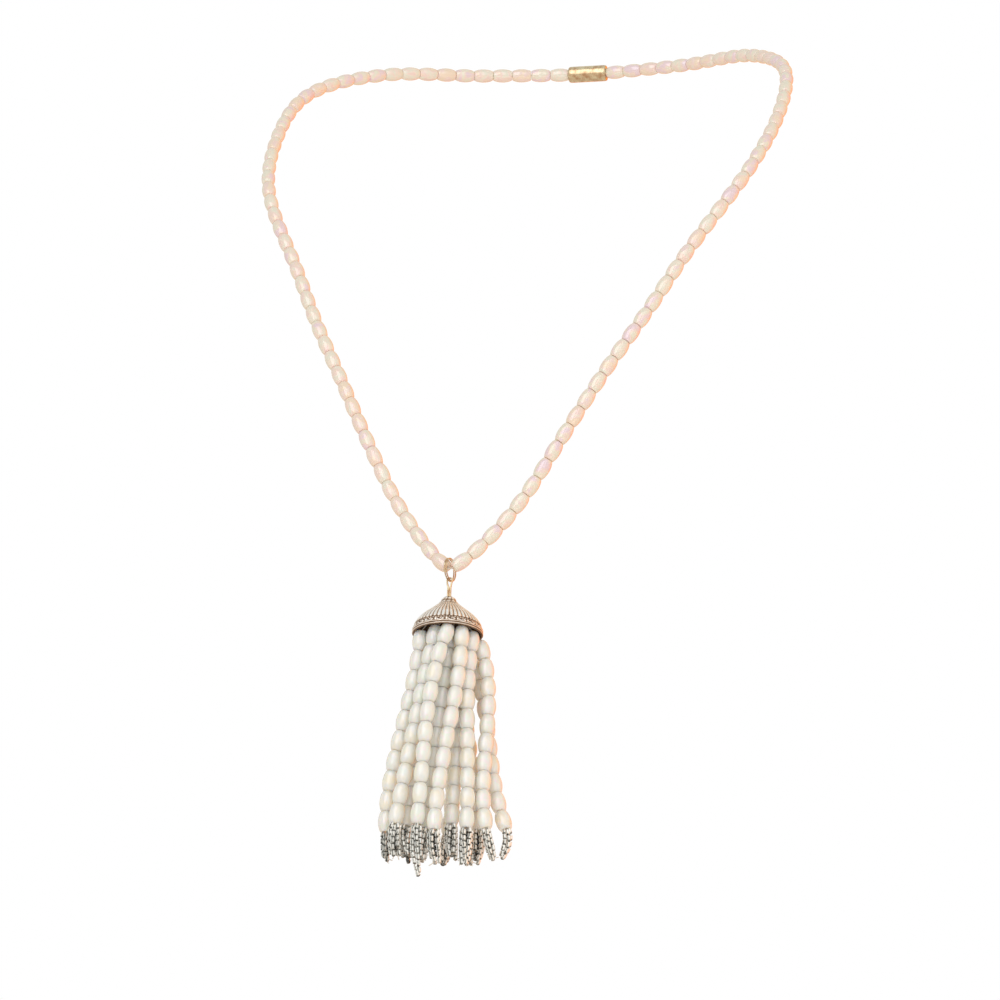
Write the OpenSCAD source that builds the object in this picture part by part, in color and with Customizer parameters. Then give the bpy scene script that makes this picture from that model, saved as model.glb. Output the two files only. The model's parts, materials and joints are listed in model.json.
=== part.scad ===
// Tassel necklace: a loop of rice beads with a jump ring at its lowest point, and a bell cap with
// twelve strands of barrel beads that hangs from it. Millimetres, as worn: +Z up, +Y to the back.

/* [Loop of beads] */
// Length of one bead of the loop
bead_l = 5.74; // [5.6:0.02:5.78]
// Greatest diameter of a loop bead
bead_d = 4.1; // [3.8:0.1:4.2]
// Diameter at a loop bead's blunt ends
bead_end_d = 2.3; // [2:0.1:2.4]
// Hole through a loop bead
bead_bore = 0.9; // [0.8:0.05:1]
// Beads on each side of the loop
beads_a_side = 50; // [46:1:50]
// Bare thread on each side of the lowest point, where the jump ring sits
ring_room = 0.8; // [0.8:0.05:1]
// Sideways lean of the whole loop on the wearer, in degrees
loop_lean = 2.6; // [0:0.2:3]
// Diameter of the beading thread
thread_d = 0.5; // [0.4:0.05:0.5]

/* [Clasp] */
// Length of the barrel clasp at the nape
clasp_l = 12; // [11:0.5:13]
// Diameter of the barrel clasp
clasp_d = 5; // [4.5:0.1:5.4]

/* [Ring and link] */
// Radius of the jump ring, to the middle of its wire
ring_r = 3.25; // [3.2:0.05:3.3]
// How far the jump ring and link are turned to the wearer's right, in degrees
ring_turn = 8; // [0:1:10]
// Wire of the jump ring
ring_wire = 0.42; // [0.38:0.02:0.42]
// Distance between the two turns of the jump ring
ring_turn_gap = 0.4; // [0.38:0.01:0.4]
// Height of the ring's top wire over the thread
ring_top = 2.85; // [2.8:0.05:2.95]
// Wire of the link
link_wire = 0.45; // [0.4:0.01:0.46]
// Radius of the link's eye, to the middle of its wire
eye_r = 0.78; // [0.76:0.01:0.82]
// Half the distance between the link's legs in the cap's hole
leg_x = 0.33; // [0.3:0.01:0.34]

/* [Cap] */
// Depth of the cap's crown below the thread at the loop's lowest point
crown_depth = 8.7; // [8.6:0.1:9.2]
// Wall of the cap
cap_wall = 0.65; // [0.6:0.05:0.7]
// Ribs round the cap
ribs = 30; // [24:1:32]
// Raised bosses in the band under the ribs
bosses = 24; // [20:1:28]
// Hole in the crown for the link
crown_bore = 1.5; // [1.45:0.05:1.6]
// Ring inside the cap that carries the threads, to the middle of its wire
carrier_r = 2.6; // [2.5:0.05:2.7]
// Depth of the carrier ring below the crown
carrier_drop = 5; // [4.9:0.1:5.2]

/* [Tassel] */
// Usual length of a bead of the tassel
pearl_l = 5.7; // [5.5:0.05:5.8]
// Greatest diameter of a tassel bead
pearl_d = 4.4; // [4:0.1:4.4]
// Diameter at a tassel bead's blunt ends
pearl_end_d = 2.7; // [2.4:0.1:2.8]
// Hole through a tassel bead
pearl_bore = 0.8; // [0.7:0.05:0.9]
// Gap between two tassel beads
pearl_gap = 0.2; // [0.2:0.05:0.4]
// Beads on a strand
pearls = 10; // [8:1:10]
// Depth of the strands' first beads' tops below the thread at the loop's lowest point
strand_depth = 19; // [19:0.1:20]
// Thread of a strand
strand_thread_d = 0.36; // [0.3:0.02:0.36]
// How far the tassel's broad side is turned to the wearer's left, in degrees
tassel_turn = 15.5; // [0:0.5:20]
// Greatest diameter of a bundle of seed beads
bundle_d = 3.8; // [2.4:0.1:3.8]

/* [Hidden] */
$fn = 48;

// Stations of the wearer's left half of the loop, from its lowest point to the nape.
// Columns: out to the side, back, up.
LOOP = [
    [0, 0, 0],
    [7.5, 2, 7],
    [19, 3.5, 22.5],
    [27.5, 3.5, 38],
    [39.5, 5.5, 61.5],
    [50.5, 9, 82.5],
    [57.5, 12, 97.5],
    [74.5, 23.5, 134],
    [77.5, 33.5, 151],
    [75, 51, 176.5],
    [59, 71.5, 192.5],
    [32, 90.5, 200],
    [0, 98, 202.5]
];

// Outline of the cap from its crown to its rim. Columns: radius, depth below the crown.
CAP = [
    [1.25, 0],
    [1.9, 0.45],
    [2.15, 1.1],
    [2.4, 2],
    [3.6, 3],
    [5.3, 4.3],
    [7, 5.75],
    [8.2, 7],
    [9, 8.2],
    [9.5, 9.1],
    [9.8, 10.1],
    [9.9, 11.3]
];
// First point of the outline with a hollow behind it
hollow_from = 4;
// A rib of the cap, from the crown to the band. Columns: radius, depth below the crown, thickness.
RIB = [
    [3.1, 2.6, 0.4],
    [6.1, 5, 0.84],
    [8.75, 7.8, 1.2]
];
// Ball of the band: radius, depth below the crown and size
boss_at = [9.3, 8.85];
boss_d = 1.1;
// Wire of the double rim, and how deep it is sunk in the cap
rim_wire = 0.5;
rim_sink = 0.1;

// Strands of the tassel, across and back from the middle, seen square to the tassel's broad side.
// Columns: top across, top back, top lower by, beads longer by, foot across, foot back,
// bow across, bow back, sway across, tip across, tip back, fringe length.
STRANDS = [
    [-7.35, -1.2, 0.45, -0.03, -15.1, 3.4, -0.6, 0.3, 0.8, -14.7, 3.6, 8.8],
    [-3.1, -4.3, 0, 0, -12.4, -3, -0.3, 0, 0, -11.7, -2.7, 9.4],
    [-2.3, 0.7, 0, -0.1, -9.4, 0.6, -0.3, 1.1, 0, -8.4, -0.9, 10.4],
    [0.5, -7.4, 0.6, 0, -6.2, -6.6, -1.9, -1.2, -0.5, -5.2, -6.2, 14.5],
    [1, -2.4, 0, 0, -4.2, -1.6, -0.2, 0, 0, -5, -2, 9.6],
    [4.1, -5.75, 0.6, 0.2, -1.5, -8.2, 0.2, 0, 0.6, -0.3, -6.8, 9.4],
    [7.1, -1.7, 0.6, 0, 7.3, -5.2, -0.7, 0, -0.4, 7, -4.9, 10.7],
    [9, 2.2, 1.9, -0.15, 12.7, -3.8, 1.1, -0.2, 1.2, 15.2, -3, 9.2],
    [4.9, 5.1, 1, -0.05, 18.3, 0.6, 0.8, 2.2, 1.1, 16.9, -0.4, 9],
    [1.6, 2.6, 0, -0.15, 3.1, -1.6, 1.75, 0.4, 0.5, 3.7, -2.1, 10.2],
    [0.8, 7.1, 0, -0.1, 10.6, 4.4, 0.9, 1.9, 0, 9.6, 2.4, 10],
    [-3.75, 6, 0, -0.05, 2, 4.8, 2.9, 0, -0.3, 1, 3.8, 9.4]
];
// Columns of the table
TOP = [0, 1];
LOWER = 2;
LONGER = 3;
FOOT = [4, 5];
BOW = [6, 7];
SWAY = 8;
TIP = [9, 10];
FRINGE_L = 11;

// Steps and sides of the curves and tubes
curve_steps = 12;
thread_sides = 8;
strand_thread_sides = 6;
wire_sides = 8;
// Rise of a bead's domed end and of the clasp's over its flat end, as a share of half the length
bead_dome = 1.024;
clasp_dome = 1.025;
// The link's legs where they open to the carrier ring. Columns: out from the leg, up from the ring.
LEG_FOOT = [[0, 0.5], [0.1, 0.15]];
// Directions in which the legs' ends reach the carrier ring
spoke_angles = [-82.5, 126];
// Straight length of the link's legs above the crown, below the eye
link_bend_drop = 2.4;
// Room between a thread and the carrier ring
hook_clear = 0.14;
// Room between a strand's foot and its bundle, and how far the bundle keeps the strand's direction
fringe_gap = 0.1;
fringe_reach = 0.45;
// Height of the cap's ceiling over the hollow's top edge
ceiling_rise = 0.1;
// Directions that the sections of the neck thread and of the link are turned to; no run lies along them
thread_up = [0, 1, 0.35];
link_up = [0.05, 1, 0.02];
ring_height = ring_top - ring_r;
eye_height = ring_height - ring_r;
carrier_height = -crown_depth - carrier_drop;
loop_end = len(LOOP) - 1;

function mirrored(p) = [-p.x, p.y, p.z];
function leaned(p) =
    let (c = cos(loop_lean), s = sin(loop_lean))
    [p.x * c + p.z * s, p.y, p.z * c - p.x * s];
function turned(p) =
    let (c = cos(tassel_turn), s = sin(tassel_turn))
    [p.x * c - p.y * s, p.x * s + p.y * c, p.z];

// The loop's stations with two more on each end, so that the curve has no corner at the lowest point or nape
stations = concat(
    [mirrored(LOOP[2]), mirrored(LOOP[1])],
    LOOP,
    [mirrored(LOOP[loop_end - 1]), mirrored(LOOP[loop_end - 2])]
);

// Slope at a station: the mean of its two spans' slopes, the shorter span counting more
function slope(i) =
    let (a = stations[i] - stations[i - 1], b = stations[i + 1] - stations[i], ha = norm(a), hb = norm(b))
    (a * hb / ha + b * ha / hb) / (ha + hb);

// Cubic from station i to the next, u from 0 to 1
function span_point(i, u) =
    let (p = stations[i], q = stations[i + 1], h = norm(q - p), v = 1 - u)
    v * v * (1 + 2 * u) * p + u * v * v * h * slope(i)
        + u * u * (3 - 2 * u) * q - u * u * v * h * slope(i + 1);

half_curve = [
    for (i = [2 : loop_end + 1]) for (k = [0 : curve_steps - 1]) span_point(i, k / curve_steps),
    LOOP[loop_end]
];
curve_end = len(half_curve) - 1;
function step_length(i) = norm(half_curve[min(i + 1, curve_end)] - half_curve[i]);
run = [for (i = 0, t = 0; i <= curve_end; t = t + step_length(i), i = i + 1) t];
along_x = [for (i = [0 : curve_end]) [run[i], half_curve[i].x]];
along_y = [for (i = [0 : curve_end]) [run[i], half_curve[i].y]];
along_z = [for (i = [0 : curve_end]) [run[i], half_curve[i].z]];
half_length = run[curve_end];

// Point of the loop at a length from the lowest point; side is 1 for the wearer's left and -1 for the right
function loop_point(s, side) = leaned([side * lookup(s, along_x), lookup(s, along_y), lookup(s, along_z)]);

bead_pitch = (half_length - ring_room - clasp_l / 2) / beads_a_side;
function knots(side) = [for (k = [0 : beads_a_side]) loop_point(ring_room + k * bead_pitch, side)];
knots_left = knots(1);
knots_right = knots(-1);
clasp_middle = (knots_left[beads_a_side] + knots_right[beads_a_side]) / 2;
nape = clasp_middle - [0, clasp_d / 2, 0];

// Two columns of a strand's row, across and back
function pair(row, columns) = [row[columns[0]], row[columns[1]]];

function strand_bead_l(row) = pearl_l + row[LONGER];

// Points of a strand's thread between its beads, from its top to its foot: a straight run with a bow to
// one side and a sway, which goes to one side above the middle and to the other below it
sway_peak = 10.4;
function strand_drop(row) =
    let (aside = norm(pair(row, FOOT) - pair(row, TOP)), run = pearls * (strand_bead_l(row) + pearl_gap))
    sqrt(run * run - aside * aside);
function strand_point(row, u) =
    let (p = (1 - u) * pair(row, TOP) + u * pair(row, FOOT) + 4 * u * (1 - u) * pair(row, BOW),
        sway = sway_peak * u * (1 - u) * (1 - 2 * u) * row[SWAY])
    turned([p.x + sway, p.y, -strand_depth - row[LOWER] - strand_drop(row) * u]);
function strand_knots(row) = [for (k = [0 : pearls]) strand_point(row, k / pearls)];

// A thread's way over the carrier ring, from inside it to outside. Columns: out from the wire, up from it.
hook_r = (link_wire + strand_thread_d) / 2 + hook_clear;
HOOK = [[-1, -1.7], [-1, 0], [-0.7, 0.7], [0, 1], [0.7, 0.7], [1, 0]];
function hook_points(row) =
    let (way = unit_vector(turned([for (v = pair(row, TOP)) v, 0])))
    [for (p = HOOK) way * (carrier_r + hook_r * p[0]) + [0, 0, carrier_height + hook_r * p[1]]];

// Bundle of seed strings below a strand: a curve that leaves along the strand and ends at its tip
function bundle_point(row, u) =
    let (foot = strand_point(row, 1), way = unit_vector(foot - strand_point(row, 1 - 1 / pearls)),
        start = foot + way * fringe_gap, bend = start + way * row[FRINGE_L] * fringe_reach,
        tip = turned([row[TIP[0]], row[TIP[1]], start.z - row[FRINGE_L]]), v = 1 - u)
    v * v * start + 2 * u * v * bend + u * u * tip;
// Columns: share of the way down, share of the greatest diameter
BUNDLE = [[0, 0.6], [0.15, 0.88], [0.4, 1], [0.65, 0.9], [0.85, 0.65], [1, 0.32]];

// Direction of a line of points at point i: the mean of the spans before and after it
function unit_vector(v) = v / norm(v);
function heading(pts, i, closed) =
    let (n = len(pts),
        before = closed || i > 0 ? unit_vector(pts[i] - pts[(i + n - 1) % n]) : [0, 0, 0],
        after = closed || i < n - 1 ? unit_vector(pts[(i + 1) % n] - pts[i]) : [0, 0, 0])
    unit_vector(before + after);
function section_axes(t, up) = let (side = unit_vector(cross(up, t))) [side, cross(t, side)];

// Tube along points: a section of equal sides stands square to each heading, diameters is one per point
module tube(pts, diameters, sides, up, closed = false) {
    n = len(pts);
    points = [
        for (i = [0 : n - 1])
            let (axes = section_axes(heading(pts, i, closed), up))
            for (k = [0 : sides - 1])
                pts[i] + diameters[i] / 2 * (cos(360 * k / sides) * axes[0] + sin(360 * k / sides) * axes[1])
    ];
    walls = [
        for (i = [0 : (closed ? n : n - 1) - 1]) for (k = [0 : sides - 1])
            let (j = (i + 1) % n, m = (k + 1) % sides)
            each [
                [i * sides + k, j * sides + m, i * sides + m],
                [i * sides + k, j * sides + k, j * sides + m]
            ]
    ];
    ends = closed ? [] : [
        [for (k = [0 : sides - 1]) k],
        [for (k = [sides - 1 : -1 : 0]) (n - 1) * sides + k]
    ];
    polyhedron(points = points, faces = concat(walls, ends));
}

module even_tube(pts, d, sides, up, closed = false) {
    tube(pts, [for (p = pts) d], sides, up, closed);
}

// Moves to the middle of two points, with +Z from the first to the second
module between(p, q) {
    d = q - p;
    translate((p + q) / 2) rotate([0, acos(d.z / norm(d)), atan2(d.y, d.x)]) children();
}

// Moves the lowest point of the loop to its place below the nape
module worn() {
    translate(-nape) children();
}

// Drilled bead with round sides, domed shoulders and flat ends
module drilled_bead(length, d, end_d, bore) {
    rise = (d - end_d) / 2;
    side_r = (pow(length / 2, 2) + rise * rise) / (2 * rise);
    rotate_extrude() intersection() {
        translate([d / 2 - side_r, 0]) circle(r = side_r, $fn = 96);
        circle(r = bead_dome * length / 2);
        translate([bore / 2, -length / 2]) square([d, length]);
    }
}

module bead_row(knot_list, length, d, end_d, bore) {
    for (k = [0 : len(knot_list) - 2])
        between(knot_list[k], knot_list[k + 1]) drilled_bead(length, d, end_d, bore);
}

module neck_beads_left() {
    color("#f6e9e0") worn() bead_row(knots_left, bead_l, bead_d, bead_end_d, bead_bore);
}

module neck_beads_right() {
    color("#f6e9e0") worn() bead_row(knots_right, bead_l, bead_d, bead_end_d, bead_bore);
}

// Closed loop of thread through every bead and the clasp
module neck_thread() {
    rest_of_loop = [for (k = [beads_a_side : -1 : 0]) knots_right[k]];
    color("#efe6dc") worn()
        even_tube(concat([loop_point(0, 1)], knots_left, rest_of_loop),
            thread_d, thread_sides, thread_up, closed = true);
}

// Plain drilled barrel with softened ends
module clasp() {
    color("#c9c3b6") worn() between(knots_right[beads_a_side], knots_left[beads_a_side])
        rotate_extrude() intersection() {
            circle(r = clasp_dome * clasp_l / 2, $fn = 96);
            translate([bead_bore / 2, -clasp_l / 2]) square([(clasp_d - bead_bore) / 2, clasp_l]);
        }
}

// Two turns of wire side by side, round the thread
module bail_ring() {
    color("#cdbb98") worn() translate([0, 0, ring_height]) rotate([0, 90, -ring_turn])
        rotate_extrude() for (side = [-1, 1])
            translate([ring_r, side * ring_turn_gap / 2]) circle(d = ring_wire, $fn = 24);
}

// Wire hairpin over the jump ring, whose legs go down the crown's hole to the carrier ring
module drop_link() {
    eye = [for (a = [0 : 20 : 180]) [eye_r * cos(a), 0, eye_height + eye_r * sin(a)]];
    leg = concat(
        [[leg_x, 0, eye_height - link_bend_drop]],
        [for (p = LEG_FOOT) [leg_x + p[0], 0, carrier_height + p[1]]]
    );
    spokes = [for (a = spoke_angles) [carrier_r * cos(a), carrier_r * sin(a), carrier_height]];
    last = len(leg) - 1;
    path = concat(
        [spokes[0]],
        [for (k = [last : -1 : 0]) leg[k]],
        eye,
        [for (p = leg) mirrored(p)],
        [spokes[1]]
    );
    color("#d8c29a") worn() rotate([0, 0, -ring_turn]) union() {
        even_tube(path, link_wire, wire_sides, link_up);
        translate([0, 0, carrier_height]) rotate_extrude()
            translate([carrier_r, 0]) circle(d = link_wire, $fn = 24);
    }
}

// Outline point i moved square to the outline, into the cap's wall
function inner_point(i) =
    let (a = CAP[max(i - 1, 0)], b = CAP[min(i + 1, len(CAP) - 1)], t = unit_vector(b - a))
    CAP[i] + cap_wall * [-t[1], t[0]];

// Hollow bell with a small domed crown, a row of ribs, a band of bosses and a double rim
module tassel_cap() {
    rim = len(CAP) - 1;
    inner = [for (i = [rim - 1 : -1 : hollow_from]) inner_point(i)];
    ceiling = inner[len(inner) - 1][1] - ceiling_rise;
    outline = concat(CAP, [CAP[rim] - [cap_wall, 0]], inner, [[crown_bore, ceiling], [0, ceiling], [0, 0]]);
    color("#a79d8c") worn() translate([0, 0, -crown_depth]) union() {
        rotate_extrude() difference() {
            union() {
                polygon([for (p = outline) [p[0], -p[1]]]);
                for (p = [CAP[rim] - [0, rim_wire / 2], CAP[rim - 1]])
                    translate([p[0] - rim_sink, -p[1]]) circle(d = rim_wire, $fn = 24);
            }
            translate([0, -2 * CAP[rim][1]]) square([crown_bore / 2, 3 * CAP[rim][1]]);
        }
        for (k = [0 : ribs - 1]) rotate([0, 0, 360 * k / ribs])
            for (i = [0 : len(RIB) - 2]) rib_length(RIB[i], RIB[i + 1]);
        for (k = [0 : bosses - 1]) rotate([0, 0, 360 * k / bosses])
            translate([boss_at[0], 0, -boss_at[1]]) sphere(d = boss_d, $fn = 16);
    }
}

// One straight length of a rib, from row p of its table to row q
module rib_length(p, q) {
    between([p[0], 0, -p[1]], [q[0], 0, -q[1]])
        cylinder(h = norm([q[0] - p[0], q[1] - p[1]]), d1 = p[2], d2 = q[2], center = true, $fn = 16);
}

module strand(i) {
    row = STRANDS[i];
    color("#efe7db") worn()
        bead_row(strand_knots(row), strand_bead_l(row), pearl_d, pearl_end_d, pearl_bore);
}

module strand_thread(i) {
    row = STRANDS[i];
    across = turned([for (v = pair(row, TOP)) v, 0]);
    color("#efe6dc") worn()
        even_tube(concat(hook_points(row), strand_knots(row)),
            strand_thread_d, strand_thread_sides, cross([0, 0, 1], across));
}

module fringe(i) {
    row = STRANDS[i];
    color("#c9c4b4") worn()
        tube([for (b = BUNDLE) bundle_point(row, b[0])], [for (b = BUNDLE) b[1] * bundle_d],
            thread_sides, turned([0, 1, 0]));
}

neck_beads_left();
neck_beads_right();
neck_thread();
clasp();
bail_ring();
drop_link();
tassel_cap();
strand(0);  // strand_01
strand(1);  // strand_02
strand(2);  // strand_03
strand(3);  // strand_04
strand(4);  // strand_05
strand(5);  // strand_06
strand(6);  // strand_07
strand(7);  // strand_08
strand(8);  // strand_09
strand(9);  // strand_10
strand(10);  // strand_11
strand(11);  // strand_12
strand_thread(0);  // thread_01
strand_thread(1);  // thread_02
strand_thread(2);  // thread_03
strand_thread(3);  // thread_04
strand_thread(4);  // thread_05
strand_thread(5);  // thread_06
strand_thread(6);  // thread_07
strand_thread(7);  // thread_08
strand_thread(8);  // thread_09
strand_thread(9);  // thread_10
strand_thread(10);  // thread_11
strand_thread(11);  // thread_12
fringe(0);  // fringe_01
fringe(1);  // fringe_02
fringe(2);  // fringe_03
fringe(3);  // fringe_04
fringe(4);  // fringe_05
fringe(5);  // fringe_06
fringe(6);  // fringe_07
fringe(7);  // fringe_08
fringe(8);  // fringe_09
fringe(9);  // fringe_10
fringe(10);  // fringe_11
fringe(11);  // fringe_12
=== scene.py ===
"""The looks of a tassel necklace: pearl coated beads, an antique silver bell cap and seed bead ends."""

import json
import logging
from dataclasses import dataclass, field
from enum import Enum

import bpy
import numpy as np
from mathutils import Matrix, Vector


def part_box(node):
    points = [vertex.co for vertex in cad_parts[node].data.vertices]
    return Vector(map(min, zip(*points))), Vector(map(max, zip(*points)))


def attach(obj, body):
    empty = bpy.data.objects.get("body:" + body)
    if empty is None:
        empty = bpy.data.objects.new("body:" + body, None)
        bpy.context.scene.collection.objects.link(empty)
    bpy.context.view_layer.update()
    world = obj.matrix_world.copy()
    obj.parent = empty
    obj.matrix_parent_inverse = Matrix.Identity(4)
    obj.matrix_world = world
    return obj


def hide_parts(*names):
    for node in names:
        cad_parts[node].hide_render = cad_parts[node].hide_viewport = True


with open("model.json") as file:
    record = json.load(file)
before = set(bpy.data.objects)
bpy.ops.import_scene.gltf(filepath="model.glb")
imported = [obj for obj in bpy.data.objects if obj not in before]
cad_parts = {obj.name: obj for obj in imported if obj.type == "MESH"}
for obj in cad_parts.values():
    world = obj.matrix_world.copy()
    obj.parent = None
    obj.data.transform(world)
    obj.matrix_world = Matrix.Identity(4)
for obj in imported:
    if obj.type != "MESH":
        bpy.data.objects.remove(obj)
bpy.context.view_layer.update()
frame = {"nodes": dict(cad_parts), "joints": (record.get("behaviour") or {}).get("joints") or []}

log = logging.getLogger("tassel_necklace")
MM = 0.001
WINDOW_WHITE = (1.0, 0.985, 0.96, 1.0)
Array = np.ndarray
Span = tuple[float, float]
UP = np.array([0.0, 0.0, 1.0])
# A direction that no string of beads runs along.
ASLANT = np.array([0.31, 0.87, 0.38])
# Corners of a CAD mesh that agree to this many decimals of a metre are one corner.
WELD_DECIMALS = 7
# The range that a noise texture's values mostly keep to.
NOISE_RANGE = (0.3, 0.7)


class Body(Enum):
    """The bodies of the frame that pieces ride on."""

    LOOP = "root"
    RING = "ring"
    TASSEL = "tassel"


class Slot(Enum):
    """The record's material slots."""

    LOOP_BEAD = "loop_bead"
    TASSEL_BEAD = "tassel_bead"
    THREAD = "thread"
    GILT_WIRE = "gilt_wire"
    ANTIQUE_SILVER = "antique_silver"
    SEED_BEAD = "seed_bead"


def linear(code: str) -> tuple[float, float, float, float]:
    """Turns an sRGB hex colour such as #F4E6DA to linear light.

    Args:
        code: the colour, a hash sign and six digits.

    Returns:
        Red, green, blue and an opacity of 1.
    """
    channels = [int(code[i : i + 2], 16) / 255 for i in (1, 3, 5)]
    red, green, blue = (c / 12.92 if c <= 0.04045 else ((c + 0.055) / 1.055) ** 2.4 for c in channels)
    return red, green, blue, 1.0


def add_node(
    tree: bpy.types.NodeTree, kind: str, inputs: dict | None = None, **settings: object
) -> bpy.types.Node:
    """Adds a shader node with its settings and links.

    Args:
        tree: the node tree.
        kind: the node's class name.
        inputs: for each input, by name or number, a value or the output socket that it takes.
        settings: the node's own attributes.

    Returns:
        The node.
    """
    node = tree.nodes.new(kind)
    for name, value in settings.items():
        setattr(node, name, value)
    for name, value in (inputs or {}).items():
        if isinstance(value, bpy.types.NodeSocket):
            tree.links.new(value, node.inputs[name])
        else:
            node.inputs[name].default_value = value
    return node


def add_ramp(
    tree: bpy.types.NodeTree, factor: bpy.types.NodeSocket, stops: dict[float, str]
) -> bpy.types.Node:
    """Adds a colour ramp.

    Args:
        tree: the node tree.
        factor: what the ramp reads.
        stops: a hex colour for each position from 0 to 1, in order.

    Returns:
        The ramp's node.
    """
    node = add_node(tree, "ShaderNodeValToRGB", {"Fac": factor})
    elements = node.color_ramp.elements
    while len(elements) < len(stops):
        elements.new(0.5)
    for element, (position, code) in zip(elements, stops.items()):
        element.position = position
        element.color = linear(code)
    return node


def new_material(name: str) -> tuple[bpy.types.Material, bpy.types.NodeTree]:
    """Makes an empty node material.

    Args:
        name: the material's name.

    Returns:
        The material and its node tree.
    """
    material = bpy.data.materials.new(name)
    material.use_nodes = True
    material.node_tree.nodes.clear()
    return material, material.node_tree


def close_material(tree: bpy.types.NodeTree, shader: bpy.types.Node) -> None:
    """Leads a shader to the material's surface."""
    add_node(tree, "ShaderNodeOutputMaterial", {"Surface": shader.outputs[0]})


def clouds(
    tree: bpy.types.NodeTree, size_mm: float, detail: float, distortion: float = 0.0
) -> bpy.types.NodeSocket:
    """Adds a cloudy pattern that is fixed to the object.

    Args:
        tree: the node tree.
        size_mm: the size of its patches.
        detail: how many finer layers it has.
        distortion: how far the patches are swirled.

    Returns:
        The pattern's value.
    """
    place = add_node(tree, "ShaderNodeTexCoord").outputs["Object"]
    inputs = {"Vector": place, "Scale": 1 / (size_mm * MM), "Detail": detail, "Distortion": distortion}
    return add_node(tree, "ShaderNodeTexNoise", inputs).outputs["Fac"]


def stretched(
    tree: bpy.types.NodeTree, value: bpy.types.NodeSocket, low: float, high: float, source: Span = NOISE_RANGE
) -> bpy.types.NodeSocket:
    """Moves a value from one range to another, straight and clamped.

    Args:
        tree: the node tree.
        value: the value.
        low: what the lower end of the source range becomes.
        high: what its upper end becomes.
        source: the range that the value comes from.

    Returns:
        The moved value.
    """
    ends = {"From Min": source[0], "From Max": source[1], "To Min": low, "To Max": high}
    return add_node(tree, "ShaderNodeMapRange", {"Value": value, **ends}).outputs[0]


@dataclass(frozen=True)
class PearlGlass:
    """Pressed glass bead with a fired pearl coat: a milky body under a thin clear film.

    The coat gives a sharp window reflection, and the film a faint shift from lilac to green.
    """

    name: str
    stops: dict[float, str]
    rim: str
    swirl_mm: float = 2.6
    ripple_mm: float = 2.2
    roughness: float = 0.14
    coat: float = 0.9
    coat_roughness: float = 0.06
    scatter: float = 1.0
    scatter_mm: float = 3.0
    film_nm: tuple[float, float] = (260.0, 330.0)

    def material(self) -> bpy.types.Material:
        """Builds the material.

        Returns:
            The material. Its tone attribute gives each bead a place of its own on the ramp.
        """
        material, tree = new_material(self.name)
        tone = add_node(tree, "ShaderNodeAttribute", attribute_name="tone").outputs["Fac"]
        swirl = clouds(tree, self.swirl_mm, 1.0, distortion=0.6)
        spread = stretched(tree, swirl, -0.4, 0.4)
        blend = add_node(tree, "ShaderNodeMath", {0: tone, 1: spread}, operation="ADD", use_clamp=True)
        body = add_ramp(tree, blend.outputs[0], self.stops).outputs["Color"]
        film = stretched(tree, swirl, *self.film_nm)
        ripple = clouds(tree, self.ripple_mm, 0.0)
        bump = add_node(tree, "ShaderNodeBump", {"Strength": 0.12, "Distance": 0.03 * MM, "Height": ripple})
        shader = add_node(
            tree, "ShaderNodeBsdfPrincipled",
            {
                "Base Color": body,
                "Roughness": self.roughness,
                "IOR": 1.52,
                "Subsurface Weight": self.scatter,
                "Subsurface Radius": (1.0, 0.88, 0.7),
                "Subsurface Scale": self.scatter_mm * MM,
                "Coat Weight": self.coat,
                "Coat Roughness": self.coat_roughness,
                "Coat IOR": 1.9,
                "Sheen Weight": 0.15,
                "Sheen Roughness": 0.35,
                "Sheen Tint": linear(self.rim),
                "Thin Film Thickness": film,
                "Thin Film IOR": 1.42,
                "Normal": bump.outputs[0],
            },
        )
        close_material(tree, shader)
        return material


@dataclass(frozen=True)
class AntiqueSilver:
    """Cast white metal, silver plated, blackened and then rubbed.

    The rubbing leaves the relief bright and the recesses brown and dull.
    """

    name: str = "antique_silver_casting"
    stops: dict[float, str] = field(
        default_factory=lambda: {
            0.0: "#4A3628", 0.25: "#8A6E57", 0.5: "#D4BEAA", 0.72: "#FAF0E6", 1.0: "#FFFFFF",
        }
    )
    grain_mm: float = 0.18
    tarnish_mm: float = 2.2

    def material(self) -> bpy.types.Material:
        """Builds the material.

        Returns:
            The material. Its relief attribute is 0 in the recesses and 1 on the ridges.
        """
        material, tree = new_material(self.name)
        relief = add_node(tree, "ShaderNodeAttribute", attribute_name="relief").outputs["Fac"]
        tarnish = clouds(tree, self.tarnish_mm, 4.0)
        spread = stretched(tree, tarnish, -0.16, 0.12)
        rubbed = add_node(tree, "ShaderNodeMath", {0: relief, 1: spread}, operation="ADD", use_clamp=True)
        colour = add_ramp(tree, rubbed.outputs[0], self.stops).outputs["Color"]
        rough = stretched(tree, rubbed.outputs[0], 0.55, 0.22, source=(0.0, 1.0))
        metal = stretched(tree, rubbed.outputs[0], 0.45, 1.0, source=(0.0, 1.0))
        grain = clouds(tree, self.grain_mm, 3.0)
        bump = add_node(tree, "ShaderNodeBump", {"Strength": 0.35, "Distance": 0.05 * MM, "Height": grain})
        shader = add_node(
            tree, "ShaderNodeBsdfPrincipled",
            {"Base Color": colour, "Roughness": rough, "Metallic": metal, "Normal": bump.outputs[0]},
        )
        close_material(tree, shader)
        return material


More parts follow.
